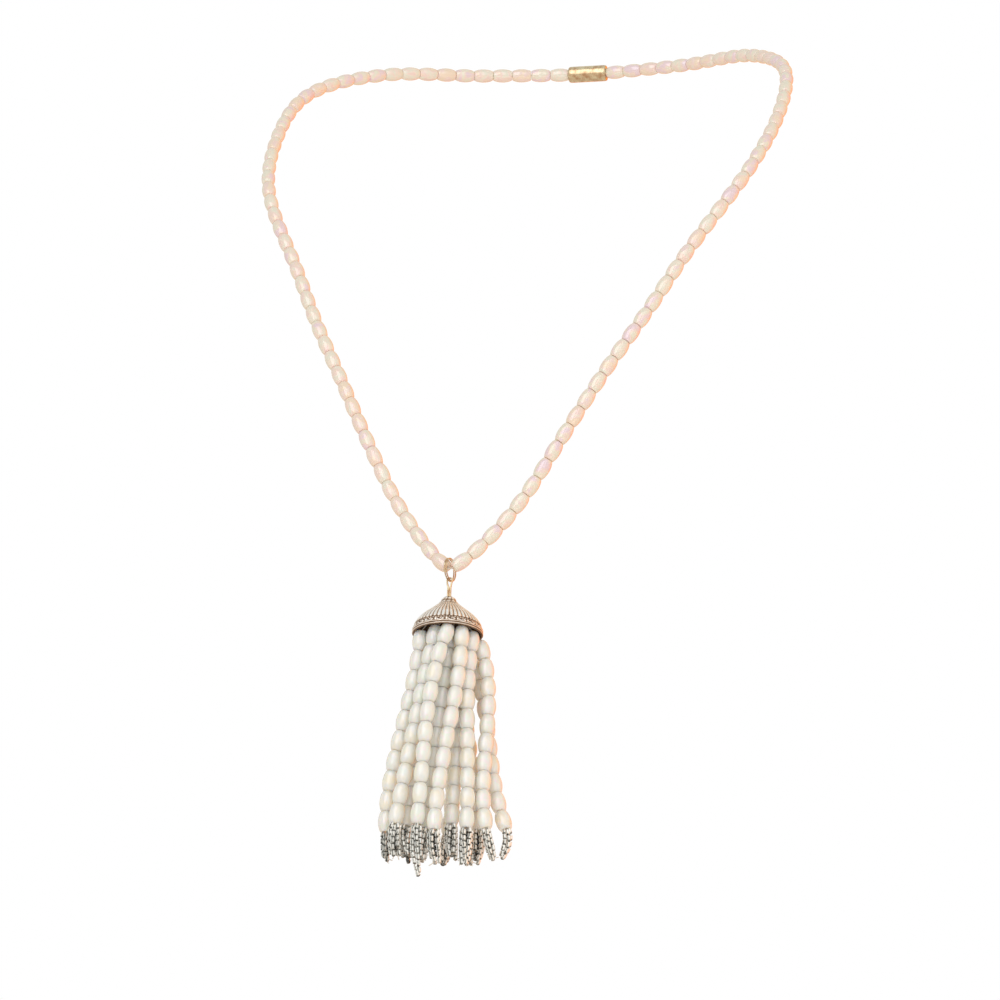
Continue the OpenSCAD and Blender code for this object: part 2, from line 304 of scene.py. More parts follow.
@dataclass(frozen=True)
class GiltWire:
    """Drawn brass wire with a pale gilt wash, polished, with a redder and duller patch where it is worn."""

    name: str = "pale_gilt_wire"
    bright: str = "#E6D9B6"
    worn: str = "#C4A07C"
    patch_mm: float = 1.4

    def material(self) -> bpy.types.Material:
        """Builds the material.

        Returns:
            The material.
        """
        material, tree = new_material(self.name)
        patch = clouds(tree, self.patch_mm, 3.0)
        colour = add_ramp(tree, patch, {0.35: self.bright, 0.7: self.worn}).outputs["Color"]
        rough = stretched(tree, patch, 0.2, 0.34)
        shader = add_node(
            tree, "ShaderNodeBsdfPrincipled", {"Base Color": colour, "Roughness": rough, "Metallic": 1.0}
        )
        close_material(tree, shader)
        return material


@dataclass(frozen=True)
class SilverLinedGlass:
    """Cut glass seed bead with a silvered hole.

    Each facet's tone is a painted reflection: one facet is painted bright and the next nearly black, as if
    each caught another part of the room.
    """

    name: str = "silver_lined_seed_bead"
    stops: dict[float, str] = field(
        default_factory=lambda: {
            0.0: "#12110F", 0.18: "#7A7A74", 0.4: "#CECDC7", 0.65: "#F6F6F2", 1.0: "#FFFFFF",
        }
    )
    speck_mm: float = 0.6

    def material(self) -> bpy.types.Material:
        """Builds the material.

        Returns:
            The material. Its tone attribute gives each facet a place of its own on the ramp: painted
            reflections on the facets, and painted shade at the bead ends and on a bundle's middle string.
        """
        material, tree = new_material(self.name)
        # The tone attribute carries painted reflections and painted shade. The speckle added to it is the
        # glass's own.
        tone = add_node(tree, "ShaderNodeAttribute", attribute_name="tone").outputs["Fac"]
        speck = clouds(tree, self.speck_mm, 2.0)
        spread = stretched(tree, speck, -0.25, 0.25)
        blend = add_node(tree, "ShaderNodeMath", {0: tone, 1: spread}, operation="ADD", use_clamp=True)
        colour = add_ramp(tree, blend.outputs[0], self.stops).outputs["Color"]
        shader = add_node(
            tree, "ShaderNodeBsdfPrincipled",
            {
                "Base Color": colour,
                "Metallic": 0.35,
                "Roughness": 0.18,
                "Coat Weight": 0.25,
                "Coat Roughness": 0.03,
            },
        )
        close_material(tree, shader)
        return material


@dataclass(frozen=True)
class WaxedThread:
    """Twisted polyester beading thread, waxed: a soft pale cord with slanting plies."""

    name: str = "waxed_beading_thread"
    light: str = "#F1E8DC"
    dark: str = "#BFAE98"
    ply_mm: float = 0.35

    def material(self) -> bpy.types.Material:
        """Builds the material.

        Returns:
            The material. Its plies are drawn as bands at their real spacing.
        """
        material, tree = new_material(self.name)
        place = add_node(tree, "ShaderNodeTexCoord").outputs["Object"]
        plies = add_node(
            tree, "ShaderNodeTexWave",
            {"Vector": place, "Scale": 0.314 / (self.ply_mm * MM), "Distortion": 1.5, "Detail": 1.0},
            wave_type="BANDS", bands_direction="DIAGONAL",
        ).outputs["Fac"]
        colour = add_ramp(tree, plies, {0.15: self.dark, 0.6: self.light}).outputs["Color"]
        bump = add_node(tree, "ShaderNodeBump", {"Strength": 0.5, "Distance": 0.04 * MM, "Height": plies})
        shader = add_node(
            tree, "ShaderNodeBsdfPrincipled",
            {"Base Color": colour, "Roughness": 0.6, "Sheen Weight": 0.2, "Normal": bump.outputs[0]},
        )
        close_material(tree, shader)
        return material


@dataclass(frozen=True)
class StudioPaper:
    """Matt white background paper, with a faint fibre."""

    name: str = "studio_paper"
    light: str = "#F7F7F6"
    dark: str = "#F0F0EF"
    fibre_mm: float = 6.0

    def material(self) -> bpy.types.Material:
        """Builds the material.

        Returns:
            The material.
        """
        material, tree = new_material(self.name)
        fibre = clouds(tree, self.fibre_mm, 4.0)
        colour = add_ramp(tree, fibre, {0.3: self.dark, 0.7: self.light}).outputs["Color"]
        shader = add_node(tree, "ShaderNodeBsdfPrincipled", {"Base Color": colour, "Roughness": 0.9})
        close_material(tree, shader)
        return material


LOOP_PEARL = PearlGlass(
    name="pearl_coated_rice_bead",
    stops={0.0: "#F6E2CD", 0.2: "#F5DBD5", 0.4: "#F7E8D8", 0.6: "#ECEAD9", 0.8: "#F7E2D3", 1.0: "#F0D9DF"},
    rim="#FFB07A",
    scatter=0.0,
)
TASSEL_PEARL = PearlGlass(
    name="pearl_coated_barrel_bead",
    stops={0.0: "#F3EEDF", 0.3: "#F5F3EB", 0.6: "#EEF3E8", 0.8: "#F7ECEA", 1.0: "#EBF0E2"},
    rim="#FFD2B0",
    swirl_mm=3.2,
    coat_roughness=0.035,
)


def grid_faces(rows: int, columns: int, wrap_rows: bool, wrap_columns: bool) -> Array:
    """Faces of a grid of points that is numbered row by row.

    Args:
        rows: number of rows.
        columns: number of points in a row.
        wrap_rows: whether the last row joins the first.
        wrap_columns: whether a row's last point joins its first.

    Returns:
        Four corner numbers for each face.
    """
    i = np.arange(rows if wrap_rows else rows - 1)[:, None]
    j = np.arange(columns if wrap_columns else columns - 1)[None, :]
    i_next, j_next = (i + 1) % rows, (j + 1) % columns
    corners = [i * columns + j, i * columns + j_next, i_next * columns + j_next, i_next * columns + j]
    return np.stack(np.broadcast_arrays(*corners), -1).reshape(-1, 4)


def facing_out(points: Array, faces: Array) -> Array:
    """Turns the faces of a closed surface round if the volume that they enclose comes out negative.

    The volume is a sixth of the sum, over triangles, of the triple product of their corners.

    Args:
        points: the surface's points.
        faces: four corner numbers for each face.

    Returns:
        The faces, turned or as they were.
    """
    a, b, c, d = (points[faces[:, k]] for k in range(4))
    volume = np.einsum("ij,ij->", a, np.cross(b, c)) + np.einsum("ij,ij->", a, np.cross(c, d))
    return faces if volume > 0 else faces[:, ::-1]


def unit(vectors: Array) -> Array:
    """Vectors scaled to length 1."""
    return vectors / np.linalg.norm(vectors, axis=-1, keepdims=True)


def smooth_step(x: Array) -> Array:
    """0 below 0, 1 above 1, and the cubic 3x^2 - 2x^3 between."""
    t = np.clip(x, 0, 1)
    return t * t * (3 - 2 * t)


def make_piece(
    name: str,
    points: Array,
    faces: list | Array,
    material: bpy.types.Material,
    body: Body,
    replaces: list[str],
    smooth: bool = True,
    attributes: dict[str, Array] | None = None,
) -> None:
    """Puts arrays into a mesh object and hangs it on its body.

    Args:
        name: the piece's name.
        points: its vertices in the frame, in metres.
        faces: corner numbers of each face.
        material: its finish.
        body: the body that it rides on.
        replaces: the CAD nodes that it stands for.
        smooth: whether it is shaded smooth.
        attributes: a value for each vertex or face, by the attribute's name.
    """
    mesh = bpy.data.meshes.new(name)
    mesh.from_pydata(points.tolist(), [], [list(face) for face in faces])
    mesh.polygons.foreach_set("use_smooth", np.full(len(mesh.polygons), smooth))
    for key, values in (attributes or {}).items():
        domain = "POINT" if len(values) == len(points) else "FACE"
        mesh.attributes.new(key, "FLOAT", domain).data.foreach_set("value", values.astype(np.float32))
    mesh.materials.append(material)
    mesh.update()
    piece = bpy.data.objects.new(name, mesh)
    bpy.context.scene.collection.objects.link(piece)
    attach(piece, body.value)
    if replaces:
        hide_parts(*replaces)
    log.info("%s: %d vertices, %d faces", name, len(mesh.vertices), len(mesh.polygons))


def joined(parts: list[tuple[Array, list | Array]]) -> tuple[Array, list]:
    """One surface from several: their points in a row, and their faces with the corner numbers moved on.

    Args:
        parts: the points and the faces of each surface.

    Returns:
        All the points, and all the faces.
    """
    starts = np.cumsum([0] + [len(points) for points, _ in parts]).tolist()
    faces = [
        [int(corner) + start for corner in face] for (_, part), start in zip(parts, starts) for face in part
    ]
    return np.concatenate([points for points, _ in parts]), faces


def joint(name: str) -> dict:
    """The frame's joint of that name."""
    return next(found for found in frame["joints"] if found["name"] == name)


def box_corners(node: str) -> tuple[Array, Array]:
    """The lowest and the highest corner of a CAD node's box."""
    low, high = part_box(node)
    return np.array(low), np.array(high)


def welded_corners(node: str) -> tuple[Array, Array]:
    """The corners of a CAD node, each place once.

    Args:
        node: the node's name.

    Returns:
        The corners, and the number of its corner for each mesh vertex.
    """
    mesh = frame["nodes"][node].data
    places = np.zeros(len(mesh.vertices) * 3)
    mesh.vertices.foreach_get("co", places)
    rounded = np.round(places.reshape(-1, 3), WELD_DECIMALS)
    points, numbers = np.unique(rounded, axis=0, return_inverse=True)
    return points, numbers.ravel()


def loose_solids(node: str) -> list[Array]:
    """Parts the corners of a CAD node by its loose solids.

    Each corner starts with its own number. Again and again it takes the lowest number in its triangles,
    until nothing changes, so all the corners of a solid end with one number.

    Args:
        node: the node's name.

    Returns:
        The corners of each solid.
    """
    points, numbers = welded_corners(node)
    mesh = frame["nodes"][node].data
    vertices = np.zeros(len(mesh.polygons) * 3, np.int32)
    mesh.polygons.foreach_get("vertices", vertices)
    triangles = numbers[vertices.reshape(-1, 3)]
    solid = np.arange(len(points))
    while True:
        lower = solid.copy()
        np.minimum.at(lower, triangles.ravel(), np.repeat(solid[triangles].min(1), 3))
        lower = lower[lower]
        if np.array_equal(lower, solid):
            break
        solid = lower
    return [points[solid == k] for k in np.unique(solid)]


def round_axis(points: Array) -> tuple[Array, Array]:
    """Middle and axis of a round solid.

    The axis is the principal direction whose spread differs most from the other two. The middle lies on it,
    halfway between the two ends.

    Args:
        points: the solid's corners.

    Returns:
        The middle, and the axis, which points down.
    """
    mean = points.mean(0)
    spread, directions = np.linalg.eigh(np.cov((points - mean).T))
    axis = directions[:, 2] if spread[2] - spread[1] > spread[1] - spread[0] else directions[:, 0]
    axis = axis if axis[2] < 0 else -axis
    along = (points - mean) @ axis
    return mean + axis * (along.max() + along.min()) / 2, axis


def bead_places(node: str) -> tuple[Array, Array]:
    """Where the beads of a CAD node are.

    Args:
        node: the node's name.

    Returns:
        Their middles from the highest to the lowest, and their axes, which point down.
    """
    found = [round_axis(points) for points in loose_solids(node)]
    found.sort(key=lambda place: -place[0][2])
    return np.array([middle for middle, _ in found]), np.array([axis for _, axis in found])


def across_axes(axes: Array) -> tuple[Array, Array]:
    """Two directions square to each axis and to each other."""
    side = unit(np.cross(axes, ASLANT))
    return side, np.cross(axes, side)


@dataclass(frozen=True)
class BeadForm:
    """A drilled bead with bulging sides and round shoulders."""

    length: float
    diameter: float
    end_diameter: float
    bore: float
    stations: int = 18
    around: int = 28
    shoulder: float = 10.0

    def profile(self) -> Array:
        """Outline from one mouth of the hole over the side to the other.

        The radius is half the diameter times the root of 1 - k t^2, where t runs from -1 to 1 and k gives
        the end diameter. It is drawn in at the ends by the root of order n of 1 - t^n, n being the shoulder.

        Returns:
            A radius and a height for each station.
        """
        t = np.sin(np.linspace(-1, 1, self.stations) * np.pi / 2)
        k = 1 - (self.end_diameter / self.diameter) ** 2
        side = self.diameter / 2 * np.sqrt(1 - k * t * t)
        radius = side * np.clip(1 - np.abs(t) ** self.shoulder, 0, 1) ** (1 / self.shoulder)
        return np.stack([np.maximum(radius, self.bore / 2), t * self.length / 2], 1)

    def surface(self) -> tuple[Array, Array]:
        """The profile turned about the axis. The hole's wall joins its two mouths, so the surface is closed.

        Returns:
            The points, and the faces.
        """
        outline = self.profile()
        turn = np.linspace(0, 2 * np.pi, self.around, endpoint=False)
        radius, height = outline[:, :1], np.repeat(outline[:, 1:], self.around, 1)
        points = np.stack([radius * np.cos(turn), radius * np.sin(turn), height], -1).reshape(-1, 3)
        faces = grid_faces(self.stations, self.around, wrap_rows=True, wrap_columns=True)
        return points, facing_out(points, faces)

    def row(self, middles: Array, axes: Array) -> tuple[Array, Array]:
        """Copies of the bead at each middle, turned to each axis.

        Args:
            middles: the middle of each copy.
            axes: the axis of each copy.

        Returns:
            The points, bead by bead, and the faces.
        """
        points, faces = self.surface()
        side, other = across_axes(axes)
        basis = np.stack([side, other, axes], 1)
        placed = middles[:, None, :] + np.einsum("pk,bkx->bpx", points, basis)
        offsets = np.arange(len(middles))[:, None, None] * len(points)
        return placed.reshape(-1, 3), (faces[None] + offsets).reshape(-1, 4)


@dataclass
class BeadStrings:
    """The loop's two runs of rice beads and the tassel's twelve strands of barrel beads."""

    rice: BeadForm = BeadForm(5.9 * MM, 4.1 * MM, 2.85 * MM, 0.9 * MM, shoulder=20.0)
    barrel_diameter: float = 4.4 * MM
    barrel_end: float = 3.0 * MM
    barrel_bore: float = 0.8 * MM
    joint_gap: float = 0.03 * MM
    tones: Span = (0.05, 0.95)
    strands: int = 12
    seed: int = 7

    def string(
        self, node: str, name: str, form: BeadForm, finish: bpy.types.Material, body: Body
    ) -> None:
        """Makes one string where the node's solids are, with a tone for each bead.

        Args:
            node: the CAD node that it stands for.
            name: the piece's name.
            form: its bead.
            finish: its material.
            body: the body that it rides on.
        """
        middles, axes = bead_places(node)
        points, faces = form.row(middles, axes)
        draw = np.random.default_rng(self.seed + sum(map(ord, node)))
        tone = np.repeat(draw.uniform(*self.tones, len(middles)), len(points) // len(middles))
        make_piece(name, points, faces, finish, body, [node], attributes={"tone": tone})

    def barrel(self, node: str) -> BeadForm:
        """The strand's bead, which reaches from neighbour to neighbour but for a hair's gap.

        Args:
            node: the strand's CAD node.

        Returns:
            The bead's form.
        """
        middles, _ = bead_places(node)
        length = float(np.median(np.linalg.norm(np.diff(middles, axis=0), axis=1))) - self.joint_gap
        return BeadForm(length, self.barrel_diameter, self.barrel_end, self.barrel_bore, shoulder=18.0)

    def build(self) -> None:
        """Makes all the strings."""
        rice, barrel = LOOP_PEARL.material(), TASSEL_PEARL.material()
        for side in ("left", "right"):
            node, name = f"neck_beads_{side}", f"rice_beads_{side}"
            self.string(node, name, self.rice, rice, Body.LOOP)
        for i in range(1, self.strands + 1):
            node, name = f"strand_{i:02d}", f"barrel_beads_{i:02d}"
            self.string(node, name, self.barrel(node), barrel, Body.TASSEL)


def swept_tube(
    path: Array, radius: Array | float, sides: int, reference: Array, closed: bool
) -> tuple[Array, list]:
    """A round tube along a path.

    Each section is a circle square to the path, whose first direction is square to the reference as well.

    Args:
        path: the points of the path.
        radius: the tube's radius, one for all points or one for each.
        sides: points in a section.
        reference: a direction that the path never runs along, or one for each point.
        closed: whether the path's end joins its start. An open tube gets flat ends.

    Returns:
        The points, and the faces.
    """
    ends = (np.roll(path, -1, 0) - np.roll(path, 1, 0)) if closed else np.gradient(path, axis=0)
    heading = unit(ends)
    side = unit(np.cross(np.broadcast_to(reference, heading.shape), heading))
    other = np.cross(heading, side)
    turn = np.linspace(0, 2 * np.pi, sides, endpoint=False)
    spokes = np.cos(turn)[None, :, None] * side[:, None] + np.sin(turn)[None, :, None] * other[:, None]
    points = (path[:, None] + np.broadcast_to(radius, len(path))[:, None, None] * spokes).reshape(-1, 3)
    faces = grid_faces(len(path), sides, closed, True)
    quads = facing_out(points, faces)
    if closed:
        return points, quads.tolist()
    last = len(points) - sides
    start_cap = list(range(sides))
    end_cap = list(range(last, len(points)))
    forwards = quads[0][0] == faces[0][0] and quads[0][1] == faces[0][1]
    caps = [start_cap[::-1], end_cap] if forwards else [start_cap, end_cap[::-1]]
    return points, quads.tolist() + caps


@dataclass
class RingAndLink:
    """The jump ring of two turns round the thread, and the hairpin over it that carries the cap."""

    ring_radius: float = 3.25 * MM
    ring_wire: float = 0.38 * MM
    ring_points: int = 320
    ring_sides: int = 14
    turn_gap: float = 0.54 * MM
    first_angle: float = np.pi / 3
    cross_over: float = 0.6
    end_gap: float = 0.2
    eye_radius: float = 0.78 * MM
    eye_arc: Span = (-20.0, 200.0)
    link_wire: float = 0.45 * MM
    link_sides: int = 12
    leg_wire: float = 0.6 * MM
    leg_x: float = 0.33 * MM
    thickens_from: float = 0.3
    bend_drop: float = 2.4 * MM
    foot_rise: float = 0.4 * MM
    carrier_radius: float = 2.6 * MM

    def ring(self, finish: bpy.types.Material) -> None:
        """A coil of two turns: a circle whose sideways place steps from one turn to the other.

        The step is a smooth one over the last part of the first turn, behind the beads, and the second turn
        ends short of it.

        Args:
            finish: its material.
        """
        low, high = box_corners("bail_ring")
        axis = np.array(joint("ring_swing")["axis"])
        front = np.cross(UP, axis)
        angle = np.linspace(0, 4 * np.pi - self.cross_over - self.end_gap, self.ring_points)
        step = smooth_step((angle - (2 * np.pi - self.cross_over)) / self.cross_over)
        sideways = (step - 0.5) * self.turn_gap
        turn = angle + self.first_angle
        spoke = np.cos(turn)[:, None] * front + np.sin(turn)[:, None] * UP
        path = (low + high) / 2 + self.ring_radius * spoke + sideways[:, None] * axis
        points, faces = swept_tube(path, self.ring_wire / 2, self.ring_sides, axis, closed=False)
        make_piece("jump_ring", points, faces, finish, Body.RING, ["bail_ring"])

    def link(self, finish: bpy.types.Material) -> None:
        """The hairpin, and at its feet two spokes and the ring that carries the strands' threads.

        The hairpin is a leg, an arc over the ring's wire and the other leg. It thickens below the arc.

        Args:
            finish: its material.
        """
        low, _ = box_corners("drop_link")
        eye, wire_way = (np.array(joint("tassel_swing")[key]) for key in ("pos_m", "axis"))
        across = np.cross(wire_way, UP)
        carrier_height = low[2] + self.link_wire / 2
        arc = np.radians(np.linspace(*self.eye_arc, 45))
        over = eye + self.eye_radius * (np.cos(arc)[:, None] * across + np.sin(arc)[:, None] * UP)
        depth = np.linspace(eye[2] - self.bend_drop, carrier_height + self.foot_rise, 60)
        down = np.stack([np.full_like(depth, eye[0]), np.full_like(depth, eye[1]), depth], 1)
        legs = [down + side * self.leg_x * across for side in (1, -1)]
        leads = [self.lead(legs[k][0], over[-k]) for k in (0, 1)]
        path = np.concatenate([legs[0][::-1], leads[0], over, leads[1][::-1], legs[1]])
        drop = (eye[2] - path[:, 2]) / self.bend_drop
        thickness = np.interp(drop, (self.thickens_from, 1), (self.link_wire, self.leg_wire))
        parts = [swept_tube(path, thickness / 2, self.link_sides, wire_way, closed=False)]
        circle = np.linspace(0, 2 * np.pi, 72, endpoint=False)
        centre = np.array([eye[0], eye[1], carrier_height])
        outwards = np.cos(circle)[:, None] * across + np.sin(circle)[:, None] * wire_way
        carrier = centre + self.carrier_radius * outwards
        parts.append(swept_tube(carrier, self.link_wire / 2, self.link_sides, UP, closed=True))
        for leg in legs:
            foot = leg[-1]
            out = unit(foot - centre - UP * (foot[2] - centre[2]))
            spoke = np.linspace(foot, centre + out * self.carrier_radius, 8)
            parts.append(swept_tube(spoke, self.link_wire / 2, self.link_sides, wire_way, closed=False))
        points, faces = joined(parts)
        make_piece("hairpin_link", points, faces, finish, Body.TASSEL, ["drop_link"])

    @staticmethod
    def lead(leg_top: Array, eye_end: Array) -> Array:
        """The smooth way between a leg's top and the eye: an S whose sideways share is a cubic step.

        Args:
            leg_top: the leg's highest point.
            eye_end: the end of the eye's arc on that side.

        Returns:
            Points between the two.
        """
        t = np.linspace(0, 1, 16)[1:-1, None]
        step = eye_end - leg_top
        vertical = UP * step[2]
        return leg_top + t * vertical + smooth_step(t) * (step - vertical)

    def build(self) -> None:
        """Makes both pieces."""
        finish = GiltWire().material()
        self.ring(finish)
        self.link(finish)


@dataclass(frozen=True)
class Mound:
    """A bell curve: e to the power of minus the square of the distance from its middle over its width."""

    middle: float
    width: float

    def at(self, x: Array) -> Array:
        """Its height at x, from 0 to 1."""
        return np.exp(-(((x - self.middle) / self.width) ** 2))


@dataclass
class BellCap:
    """The cast cap: a knob with curling leaves, ribs, a band of scrolls and a double rim, in millimetres.

    The outline is a radius and a depth a row, from the knob to the rim.
    """

    outline: tuple = (
        (1.2, 0), (1.75, 0.4), (2.1, 1), (2.65, 1.9), (3.75, 3), (5.3, 4.3),
        (7, 5.75), (8.2, 7), (9, 8.2), (9.5, 9.1), (9.8, 10.1), (9.9, 11.3),
    )
    wall: float = 0.65
    bore: float = 1.5
    ceiling: float = 4.6
    ground: float = -0.08
    knob: Span = (0.2, 2.35)
    leaves: int = 12
    leaf_lean: float = 0.8
    leaf_swell: float = 4.6
    leaf_height: float = 0.14
    ribs: int = 48
    rib_start: float = 2.1
    rib_end: float = 8.95
    rib_height: float = 0.034
    scrolls: int = 19
    scroll_radius: float = 9.6
    scroll_depth: float = 9.86
    scroll_flatness: float = 2.3
    scroll_growth: float = 0.95
    scroll_line: Mound = Mound(0.15, 0.27)
    scroll_height: float = 0.3
    bud_along: Mound = Mound(1.5, 0.22)
    bud_down: Mound = Mound(9.8, 0.4)
    bud_height: float = 0.24
    grain_row: Mound = Mound(9.2, 0.14)
    grain_share: float = 0.85
    grain_height: float = 0.2
    upper_line: Mound = Mound(10.44, 0.12)
    lower_line: Mound = Mound(11.05, 0.16)
    lower_share: float = 0.8
    line_height: float = 0.24
    ground_tone: float = 0.1
    bore_tone: float = 0.3
    inside_tone: float = 0.12
    stations: int = 150
    around: int = 560
    crown_stations: float = 0.52
    crown_length: float = 0.76
    rounding: int = 7

    def outer_curve(self) -> tuple[Array, Array]:
        """The outline, with closer stations in the band, rounded by a running mean.

        Returns:
            A radius and a depth for each station.
        """
        table = np.array(self.outline, float)
        run = np.concatenate([[0], np.cumsum(np.linalg.norm(np.diff(table, axis=0), axis=1))])
        share = np.interp(
            np.linspace(0, 1, self.stations), (0, self.crown_stations, 1), (0, self.crown_length, 1)
        )
        curve = np.stack([np.interp(share * run[-1], run, table[:, k]) for k in (0, 1)], 1)
        window = np.ones(self.rounding) / self.rounding
        margin = self.rounding // 2
        padded = np.pad(curve, ((margin, margin), (0, 0)), mode="reflect", reflect_type="odd")
        radius, depth = (np.convolve(padded[:, k], window, "valid") for k in (0, 1))
        return radius, depth

    def relief(self, depth: Array, radius: Array, turn: Array) -> tuple[Array, Array]:
        """The casting's relief over depth and turn.

        Leaves on the knob are half waves round it that lean with depth and swell twice. Ribs are half waves
        that grow with the radius and end in round lobes. The band is a row of lying scrolls: in each cell a
        spiral, flattened to less than half its length, with a bud at the cell's end and a row of grains
        above. Two round lines make the rim.

        Args:
            depth: the depth of each station, in a column.
            radius: the plain outline's radius at each station, in a column.
            turn: the angles round the cap's axis, in a row.

        Returns:
            The height over the plain outline, and how near each point is to the top of its own ornament.
        """
        knob = smooth_step((depth - self.knob[0]) / 0.2) * smooth_step((self.knob[1] - depth) / 0.3)
        lean = np.abs(np.cos(self.leaves * turn / 2 + self.leaf_lean * depth))
        leaf = knob * lean**0.6 * (0.65 + 0.35 * np.cos(self.leaf_swell * (depth - 0.7)))
        wave = np.abs(np.cos(self.ribs * turn / 2))
        lobe_end = self.rib_end - 0.3 * (1 - wave)
        rib_length = smooth_step((depth - self.rib_start) / 0.5) * smooth_step((lobe_end - depth) / 0.2)
        cell = np.mod(self.scrolls * turn / (2 * np.pi), 1) - 0.5
        along = cell * 2 * np.pi * self.scroll_radius / self.scrolls
        above = self.scroll_flatness * (depth - self.scroll_depth)
        way_round = (np.arctan2(above, along) + np.pi) / (2 * np.pi)
        scroll = self.scroll_line.at(np.hypot(along, above) - self.scroll_growth * way_round)
        bud = self.bud_along.at(np.abs(along)) * self.bud_down.at(depth)
        grain = self.grain_share * np.abs(np.cos(2 * self.scrolls * turn)) * self.grain_row.at(depth)
        lines = self.upper_line.at(depth) + self.lower_share * self.lower_line.at(depth)
        lift = top = np.zeros(np.broadcast(depth, turn).shape)
        for share, height in (
            (leaf, self.leaf_height), (rib_length * wave**0.8, self.rib_height * radius),
            (scroll, self.scroll_height), (bud, self.bud_height),
            (grain, self.grain_height), (lines, self.line_height),
        ):
            lift, top = np.maximum(lift, share * height), np.maximum(top, share)
        return lift, top

    def build(self) -> None:
        """Makes the cap as one closed wall: down the outside, round the rim and up the inside."""
        low, high = (corner / MM for corner in box_corners("tassel_cap"))
        middle = (low + high) / 2
        radius, depth = self.outer_curve()
        turn = np.linspace(0, 2 * np.pi, self.around, endpoint=False)
        lift, top = self.relief(depth[:, None], radius[:, None], turn[None, :])
        fade_in = smooth_step((np.arange(self.stations) / self.stations - 0.01) / 0.02)[:, None]
        lift = lift * fade_in + self.ground
        slope = unit(np.stack([np.gradient(radius), np.gradient(depth)], 1))
        out_r = radius[:, None] + lift * slope[:, 1:]
        out_d = depth[:, None] - lift * slope[:, :1]
        inner_r = np.maximum(radius - self.wall * slope[:, 1], self.bore / 2)[::-5]
        inner_d = (depth + self.wall * slope[:, 0])[::-5]
        keep = (inner_d > self.ceiling) & (inner_d < depth[-1])
        inner_r = np.concatenate([[radius[-1] - self.wall], inner_r[keep], [self.bore, self.bore / 2]])
        inner_d = np.concatenate([[depth[-1]], inner_d[keep], [inner_d[keep][-1]] * 2])
        mouth_r, mouth_d = np.full((1, self.around), self.bore / 2), np.full((1, self.around), depth[0])
        all_r = np.concatenate([mouth_r, out_r, np.repeat(inner_r[:, None], self.around, 1)])
        all_d = np.concatenate([mouth_d, out_d, np.repeat(inner_d[:, None], self.around, 1)])
        points = np.stack(
            [middle[0] + all_r * np.cos(turn), middle[1] + all_r * np.sin(turn), high[2] - all_d], -1
        ).reshape(-1, 3) * MM
        faces = facing_out(points, grid_faces(len(all_r), self.around, wrap_rows=True, wrap_columns=True))
        shine = np.full(all_r.shape, self.inside_tone)
        shine[0] = self.bore_tone
        shine[1 : 1 + self.stations] = self.ground_tone + (1 - self.ground_tone) * top
        make_piece(
            "bell_cap", points, faces, AntiqueSilver().material(), Body.TASSEL,
            ["tassel_cap"], attributes={"relief": shine.ravel()},
        )


@dataclass(frozen=True)
class BundleForm:
    """How the strings of a bundle lie.

    The strings stand round the bundle's middle at a distance that changes from its foot over its body to its
    tip. Some of them go all the way, and the others end between two shares of it.
    """

    strings: int
    core: bool
    spread: float
    gather: tuple[float, float, float]
    short_reach: tuple[float, float]
    long_strings: int = 1
    # Painted shade: how far the bundle's tones are dimmed, 1 for none.
    shade: float = 1.0


FULL_BUNDLE = BundleForm(7, True, 1.34 * MM, (0.8, 1.0, 0.7), (0.74, 0.98))
SLIM_BUNDLE = BundleForm(4, False, 0.86 * MM, (0.75, 1.0, 0.35), (0.8, 1.0))
# A slim bundle with its tones dimmed as painted shade, for strand 1.
SHADED_BUNDLE = BundleForm(4, False, 0.86 * MM, (0.75, 1.0, 0.4), (0.75, 1.0), shade=0.6)
LONG_BUNDLE = BundleForm(6, True, 1.22 * MM, (0.8, 1.0, 0.22), (0.48, 0.62), long_strings=2)


